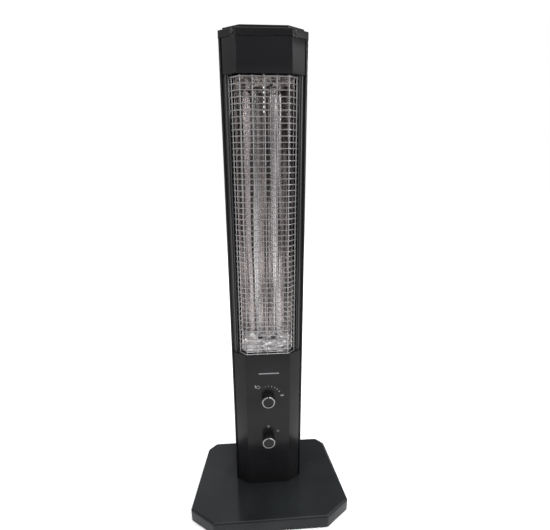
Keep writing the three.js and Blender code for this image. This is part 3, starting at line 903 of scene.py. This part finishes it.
# ---- Lamps ----------------------------------------------------------------------------------
# Two quartz tubes stand side by side in ceramic holders. Each holds an open coil of resistance
# wire for its whole length.
quartz = Finish(
    "quartz_glass", Base_Color=(0.96, 0.96, 0.97), Transmission_Weight=1.0, IOR=1.46
)
quartz.set(Roughness=0.03 + quartz.grain(45.0, 3.0) * 0.05)
quartz.relief(quartz.grain(120.0, 2.0, 0.5, (1.0, 1.0, 0.1)), 0.0002, 0.3)

coil_wire = Finish("coil_wire", Metallic=1.0)
coil_wire.set(
    Base_Color=coil_wire.mix(
        coil_wire.grain(260.0, 3.0), (0.10, 0.085, 0.075), (0.27, 0.25, 0.24)
    ),
    Roughness=0.35 + coil_wire.grain(180.0) * 0.25,
)
coil_wire.relief(coil_wire.grain(2200.0, 2.0), 0.00003, 0.5)

steatite = Finish("steatite_ceramic", Specular_IOR_Level=0.4)
steatite.set(
    Base_Color=steatite.mix(
        steatite.grain(220.0, 5.0, 0.7), (0.52, 0.48, 0.40), (0.70, 0.67, 0.60)
    ),
    Roughness=0.5 + steatite.grain(90.0) * 0.2,
)
steatite.relief(steatite.grain(800.0, 4.0), 0.00012, 0.5)

TUBE_OUTER = 5.5
TUBE_INNER = 4.3
COIL_RADIUS = 2.55
COIL_WIRE = 0.6
COIL_PITCH = 4.1
TUBE_LIP = 0.2
CIRCLE_RADIUS = 4  # place of the Radius among a Curve Circle node's sockets


def wound_coil(name, node):
    low, high = (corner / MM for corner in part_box(node))
    recipe = Recipe(name)
    turns = recipe.size("Turns", (high.z - low.z) / COIL_PITCH)
    radius = recipe.size("Coil Radius", COIL_RADIUS * MM)
    length = recipe.size("Length", (high.z - low.z - 2 * COIL_WIRE) * MM)
    wire = recipe.size("Wire Radius", COIL_WIRE * MM)
    line = recipe.node(
        "GeometryNodeCurveSpiral",
        sockets={"Resolution": 12, "Rotations": turns, "Start Radius": radius,
                 "End Radius": radius, "Height": length},
    )
    section = recipe.node(
        "GeometryNodeCurvePrimitiveCircle", sockets={"Resolution": 5, CIRCLE_RADIUS: wire}
    )
    coil = recipe.node(
        "GeometryNodeCurveToMesh",
        sockets={"Curve": line, "Profile Curve": section, "Fill Caps": True},
    )
    piece = recipe.made(name, coil, coil_wire)
    centre = (low + high) / 2
    piece.data.transform(
        Matrix.Translation(Vector((centre.x, centre.y, low.z + COIL_WIRE)) * MM)
    )
    return piece


for side in ("left", "right"):
    tube_node = f"quartz_tube_{side}"
    tube_low, tube_high = (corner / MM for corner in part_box(tube_node))
    tube_length = tube_high.z - tube_low.z
    tube_profile = [
        (TUBE_INNER, TUBE_LIP), (TUBE_INNER + TUBE_LIP, 0.0), (TUBE_OUTER - TUBE_LIP, 0.0),
        (TUBE_OUTER, TUBE_LIP), (TUBE_OUTER, tube_length - TUBE_LIP),
        (TUBE_OUTER - TUBE_LIP, tube_length), (TUBE_INNER + TUBE_LIP, tube_length),
        (TUBE_INNER, tube_length - TUBE_LIP), (TUBE_INNER, TUBE_LIP),
    ]
    tube = turned(f"drawn_quartz_tube_{side}", tube_profile, 40, quartz)
    tube.data.transform(
        Matrix.Translation(Vector((middle(tube_node).x, middle(tube_node).y, tube_low.z)) * MM)
    )
    settle(finished(tube), "quartz", tube_node)
    coil_node = f"heating_coil_{side}"
    settle(wound_coil(f"wound_coil_{side}", coil_node), "coil_wire", coil_node)
    paint_nodes(steatite, f"lamp_holder_low_{side}", f"lamp_holder_high_{side}")

# ---- Wire guard -----------------------------------------------------------------------------
# A welded grille of bright plated 2 mm wire: 51 level wires bent back at both sides,
# on seven upright wires behind them.
plated_wire = Finish("bright_plated_wire", Metallic=1.0)
plated_wire.set(
    Base_Color=plated_wire.mix(
        plated_wire.grain(55.0, 3.0), (0.23, 0.227, 0.23), (0.36, 0.353, 0.356)
    ),
    Roughness=0.20 + plated_wire.grain(80.0) * 0.16,
)
plated_wire.relief(plated_wire.grain(900.0, 2.0), 0.00006, 0.4)

GUARD_FLAT_HALF = 50.0
GUARD_Y = -23.0
GUARD_DROP = 17.0
GUARD_BEND = 7.0
WIRE = 1.0  # radius of the wire
WELD = 1.2  # half the depth of two wires pressed together at a weld
WIRE_PITCH = 12.0
WIRE_COUNT = 51
UPRIGHTS = [-48.0, -24.0, 0.0, 24.0, 48.0]
OUTER_WIRE_IN = 2.42
OUTER_WIRE_BACK = 0.3
guard_low, guard_high = (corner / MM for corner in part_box("wire_guard"))


def wire_points(name, points):
    """A mesh of single points in millimetres, for a recipe to stand or bend its wires on."""
    mesh = bpy.data.meshes.new(name)
    edges = [(i, i + 1) for i in range(len(points) - 1)]
    mesh.from_pydata([Vector(p) * MM for p in points], edges, [])
    return show(bpy.data.objects.new(name, mesh))


guard_right = [(GUARD_FLAT_HALF, GUARD_Y), (GUARD_FLAT_HALF + GUARD_DROP, GUARD_Y + GUARD_DROP)]
bent = rounded_outline(mirrored_line(guard_right) + guard_right, GUARD_BEND, 5, closed=False)
level_line = wire_points("level_wire_line", [(x, y, 0) for x, y in bent])
outer_x = GUARD_FLAT_HALF + GUARD_DROP - OUTER_WIRE_IN
outer_y = GUARD_Y + GUARD_DROP + OUTER_WIRE_BACK
front_spots = [(x, GUARD_Y + WELD * 1.5, 0) for x in UPRIGHTS]
side_spots = [(-outer_x, outer_y, 0), (outer_x, outer_y, 0)]
upright_spots = wire_points("upright_wire_spots", front_spots + side_spots)

guard = Recipe("welded_guard")
pitch = guard.size("Wire Pitch", WIRE_PITCH * MM)
number = guard.size("Level Wires", WIRE_COUNT, "Int")
radius = guard.size("Wire Radius", WIRE * MM)
lowest = guard.size("Lowest Wire", (guard_low.z + WELD * 2) * MM)
height = guard.size("Upright Length", (guard_high.z - guard_low.z) * MM)
line = guard.node("GeometryNodeObjectInfo", sockets={"Object": level_line}, output="Geometry")
line = guard.node("GeometryNodeMeshToCurve", sockets={"Mesh": line})
section = guard.node(
    "GeometryNodeCurvePrimitiveCircle", sockets={"Resolution": 10, CIRCLE_RADIUS: radius}
)
level = guard.node(
    "GeometryNodeCurveToMesh",
    sockets={"Curve": line, "Profile Curve": section, "Fill Caps": True},
)
start = guard.node("ShaderNodeCombineXYZ", sockets={"Z": lowest})
rise = guard.node("ShaderNodeCombineXYZ", sockets={"Z": pitch})
ladder = guard.node(
    "GeometryNodeMeshLine", sockets={"Count": number, "Start Location": start, "Offset": rise}
)
levels = guard.node(
    "GeometryNodeInstanceOnPoints",
    sockets={"Points": ladder, "Instance": level},
    output="Instances",
)
top = guard.node("ShaderNodeCombineXYZ", sockets={"Z": height})
rod_line = guard.node("GeometryNodeCurvePrimitiveLine", sockets={"End": top})
rod = guard.node(
    "GeometryNodeCurveToMesh",
    sockets={"Curve": rod_line, "Profile Curve": section, "Fill Caps": True},
)
spots = guard.node("GeometryNodeObjectInfo", sockets={"Object": upright_spots}, output="Geometry")
rods = guard.node(
    "GeometryNodeInstanceOnPoints",
    sockets={"Points": spots, "Instance": rod},
    output="Instances",
)
lifted = guard.node("ShaderNodeCombineXYZ", sockets={"Z": guard_low.z * MM})
rods = guard.node("GeometryNodeTransform", sockets={"Geometry": rods, "Translation": lifted})
both = guard.tree.nodes.new("GeometryNodeJoinGeometry")
guard.tree.links.new(rods, both.inputs[0])
guard.tree.links.new(levels, both.inputs[0])
wire_guard = guard.made("welded_wire_guard", both.outputs[0], plated_wire)
for used in (level_line, upright_spots):
    bpy.data.objects.remove(used)
settle(wire_guard, "guard_wire", "wire_guard")

# ---- Controls -------------------------------------------------------------------------------
# A heat regulator and a lamp selector sit behind the panel. Each shaft carries a gloss black
# knob with a chrome ring round its face, open at the top where the pointer shows.
knob_plastic = Finish("gloss_black_plastic", Specular_IOR_Level=0.15)
knob_plastic.set(
    Base_Color=knob_plastic.mix(
        knob_plastic.grain(60.0, 3.0), (0.006, 0.006, 0.0065), (0.011, 0.011, 0.0115)
    ),
    Roughness=0.10 + knob_plastic.grain(90.0) * 0.10,
)
knob_plastic.relief(knob_plastic.grain(700.0, 2.0), 0.00005, 0.3)

chrome = Finish("chrome_trim", Metallic=1.0)
chrome.set(
    Base_Color=chrome.mix(chrome.grain(40.0), (0.17, 0.17, 0.172), (0.23, 0.23, 0.232)),
    Roughness=0.06 + chrome.grain(120.0, 4.0) * 0.08,
)
chrome.relief(chrome.grain(600.0, 2.0), 0.00003, 0.3)

grey_plastic = Finish("grey_plastic", Specular_IOR_Level=0.45)
grey_plastic.set(
    Base_Color=grey_plastic.mix(
        grey_plastic.grain(80.0, 4.0), (0.045, 0.046, 0.048), (0.075, 0.076, 0.078)
    ),
    Roughness=0.42 + grey_plastic.grain(70.0) * 0.18,
)
grey_plastic.relief(grey_plastic.grain(650.0, 3.0), 0.0001, 0.5)

KNOB_STEPS = 72
KNOB_PROFILE = [
    (0.0, 16.0), (3.3, 16.0), (3.3, 9.0), (11.0, 9.0), (11.0, 1.5), (15.1, 1.5), (15.5, 1.9),
    (15.5, 16.7), (15.3, 17.3), (14.8, 17.5), (12.3, 17.5), (12.3, 18.4), (12.0, 18.9),
    (11.2, 19.0), (0.0, 18.6),
]
RING_PROFILE = [
    (12.6, 17.8), (16.0, 17.8), (16.25, 18.3), (16.3, 18.9), (16.0, 19.8), (15.4, 20.5),
    (14.4, 20.8), (13.5, 20.75), (12.9, 20.4), (12.6, 19.8),
]
RING_GAP = 2.4
POINTER_HALF = 0.9
POINTER_RISE = (12.45, 15.6)
POINTER_OUT = (17.2, 20.0)


def turned_on_panel(name, profile, height, finish, gap=0.0):
    """A turned piece on a line out of the panel. A gap leaves it open at the top."""
    opening = gap / profile[0][0] if gap else 0.0
    vertices, faces = [], []
    columns = KNOB_STEPS + 1 if gap else KNOB_STEPS
    for step in range(columns):
        angle = math.pi / 2 + opening / 2 + (math.tau - opening) * step / KNOB_STEPS
        for radius, out in profile:
            vertices.append(
                (radius * math.cos(angle), FRONT_Y - out, height + radius * math.sin(angle))
            )
    count = len(profile)
    rims = count if gap else count - 1
    for step in range(KNOB_STEPS):
        here, there = step * count, (step + 1) % columns * count
        for i in range(rims):
            j = (i + 1) % count
            faces.append((here + i, there + i, there + j, here + j))
    if gap:
        faces.append(tuple(range(count)))
        faces.append(tuple(range(KNOB_STEPS * count, (KNOB_STEPS + 1) * count)))
    return new_piece(name, vertices, faces, finish)


def block(name, low, high, finish):
    corners = [
        (x, y, z) for z in (low[2], high[2]) for y in (low[1], high[1]) for x in (low[0], high[0])
    ]
    sides = [(0, 1, 3, 2), (4, 5, 7, 6), (0, 1, 5, 4), (2, 3, 7, 6), (0, 2, 6, 4), (1, 3, 7, 5)]
    return new_piece(name, corners, sides, finish)


for control, body in (("regulator", "regulator_control"), ("selector", "selector_control")):
    height = middle(f"{control}_knob_ring").z
    pointer_low, pointer_high = (height + rise for rise in POINTER_RISE)
    near, far = POINTER_OUT
    knob = joined(
        f"{control}_turned_knob",
        finished(turned_on_panel(f"{control}_knob_body", KNOB_PROFILE, height, knob_plastic)),
        finished(
            block(
                f"{control}_pointer",
                (-POINTER_HALF, FRONT_Y - far, pointer_low),
                (POINTER_HALF, FRONT_Y - near, pointer_high),
                knob_plastic,
            ),
            edge=0.25,
        ),
    )
    settle(knob, "gloss_black_plastic", f"{control}_knob", body=body)
    ring = finished(
        turned_on_panel(f"{control}_chrome_ring", RING_PROFILE, height, chrome, RING_GAP)
    )
    settle(ring, "chrome_trim", f"{control}_knob_ring", body=body)

paint_nodes(zinc_steel, "regulator_shaft", "regulator_nut", "selector_shaft", "selector_nut")
paint_nodes(grey_plastic, "heat_regulator", "lamp_selector_switch")

# ---- Panel marks ----------------------------------------------------------------------------
# Pale ink printed on the panel: a plain stripe, an off mark and seven growing heat marks with
# an end bar round the regulator, and marks for one and two lamps round the selector.
pale_ink = Finish("pale_ink", Specular_IOR_Level=0.3)
pale_ink.set(
    Base_Color=pale_ink.mix(pale_ink.grain(350.0, 3.0), (0.15, 0.15, 0.15), (0.24, 0.24, 0.24)),
    Roughness=0.45 + pale_ink.grain(200.0) * 0.15,
)
INK = 0.06
regulator_z = middle("regulator_knob_ring").z
selector_z = middle("selector_knob_ring").z


def inked(outline):
    """A printed patch on the panel from a closed (x, z) outline."""
    count = len(outline)
    vertices = [(x, FRONT_Y - INK, z) for x, z in outline] + [(x, FRONT_Y, z) for x, z in outline]
    faces = [tuple(range(count)), tuple(range(count, 2 * count))]
    faces += [(i, (i + 1) % count, count + (i + 1) % count, count + i) for i in range(count)]
    return new_piece("ink_patch", vertices, faces, pale_ink)


def bar(x, z, width, height, turn=0.0):
    corners = [(-width / 2, -height / 2), (width / 2, -height / 2), (width / 2, height / 2),
               (-width / 2, height / 2)]
    shape = rounded_outline(corners, min(width, height) * 0.3, 3)
    c, s = math.cos(turn), math.sin(turn)
    return inked([(x + u * c + v * s, z - u * s + v * c) for u, v in shape])


def ring_mark(x, z, radius, stroke, steps=28):
    """A printed ring, as patches that each run out along its rim and back inside it."""
    arcs = [math.tau * step / steps for step in range(steps + 1)]
    outer = [(x + radius * math.cos(a), z + radius * math.sin(a)) for a in arcs]
    bore = radius - stroke
    inner = [(x + bore * math.cos(a), z + bore * math.sin(a)) for a in arcs]
    patches = []
    for i in range(0, steps, 4):
        patches.append(inked(outer[i:i + 5] + inner[i:i + 5][::-1]))
    return patches


STRIPE = (2.3, 375.5, 50.0, 3.0)
HEAT_MARKS = 7
HEAT_MARK_RADIUS = 32.8
FIRST_HEAT_MARK = -25.5
HEAT_MARK_STEP = 13.9
HEAT_MARK_SIZE = (1.1, 2.0)
HEAT_MARK_GROWTH = (0.22, 0.36)
marks = [bar(*STRIPE)]
for k in range(HEAT_MARKS):
    turn = math.radians(FIRST_HEAT_MARK + HEAT_MARK_STEP * k)
    width, height = (size + more * k for size, more in zip(HEAT_MARK_SIZE, HEAT_MARK_GROWTH))
    x = HEAT_MARK_RADIUS * math.sin(turn)
    z = regulator_z + HEAT_MARK_RADIUS * math.cos(turn)
    marks.append(bar(x, z, width, height, turn))
# The end bar, then the upright bar and ring of the off mark, as x, z and sizes.
marks.append(bar(34.9, regulator_z + 5.2, 8.5, 3.6))
marks.append(bar(-31.3, regulator_z + 33.3, 2.6, 8.4))
marks += ring_mark(-24.6, regulator_z + 31.0, 4.8, 1.3)
# The selector's ring for one position and its pair of bars for the other.
marks += ring_mark(0.0, selector_z + 35.0, 3.0, 1.2)
for offset in (-1.6, 1.6):
    marks.append(bar(24.7 + offset, selector_z + 19.8, 1.4, 4.4))
panel_marks = joined("printed_panel_marks", *marks)
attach(panel_marks, "heater")

# ---- Electrical pieces ----------------------------------------------------------------------
# A ceramic terminal block and a tilt switch, which cuts the power if the heater falls over,
# stand on the bracket in the foot of the column.
paint_nodes(steatite, "terminal_block")
paint_nodes(grey_plastic, "tilt_switch")
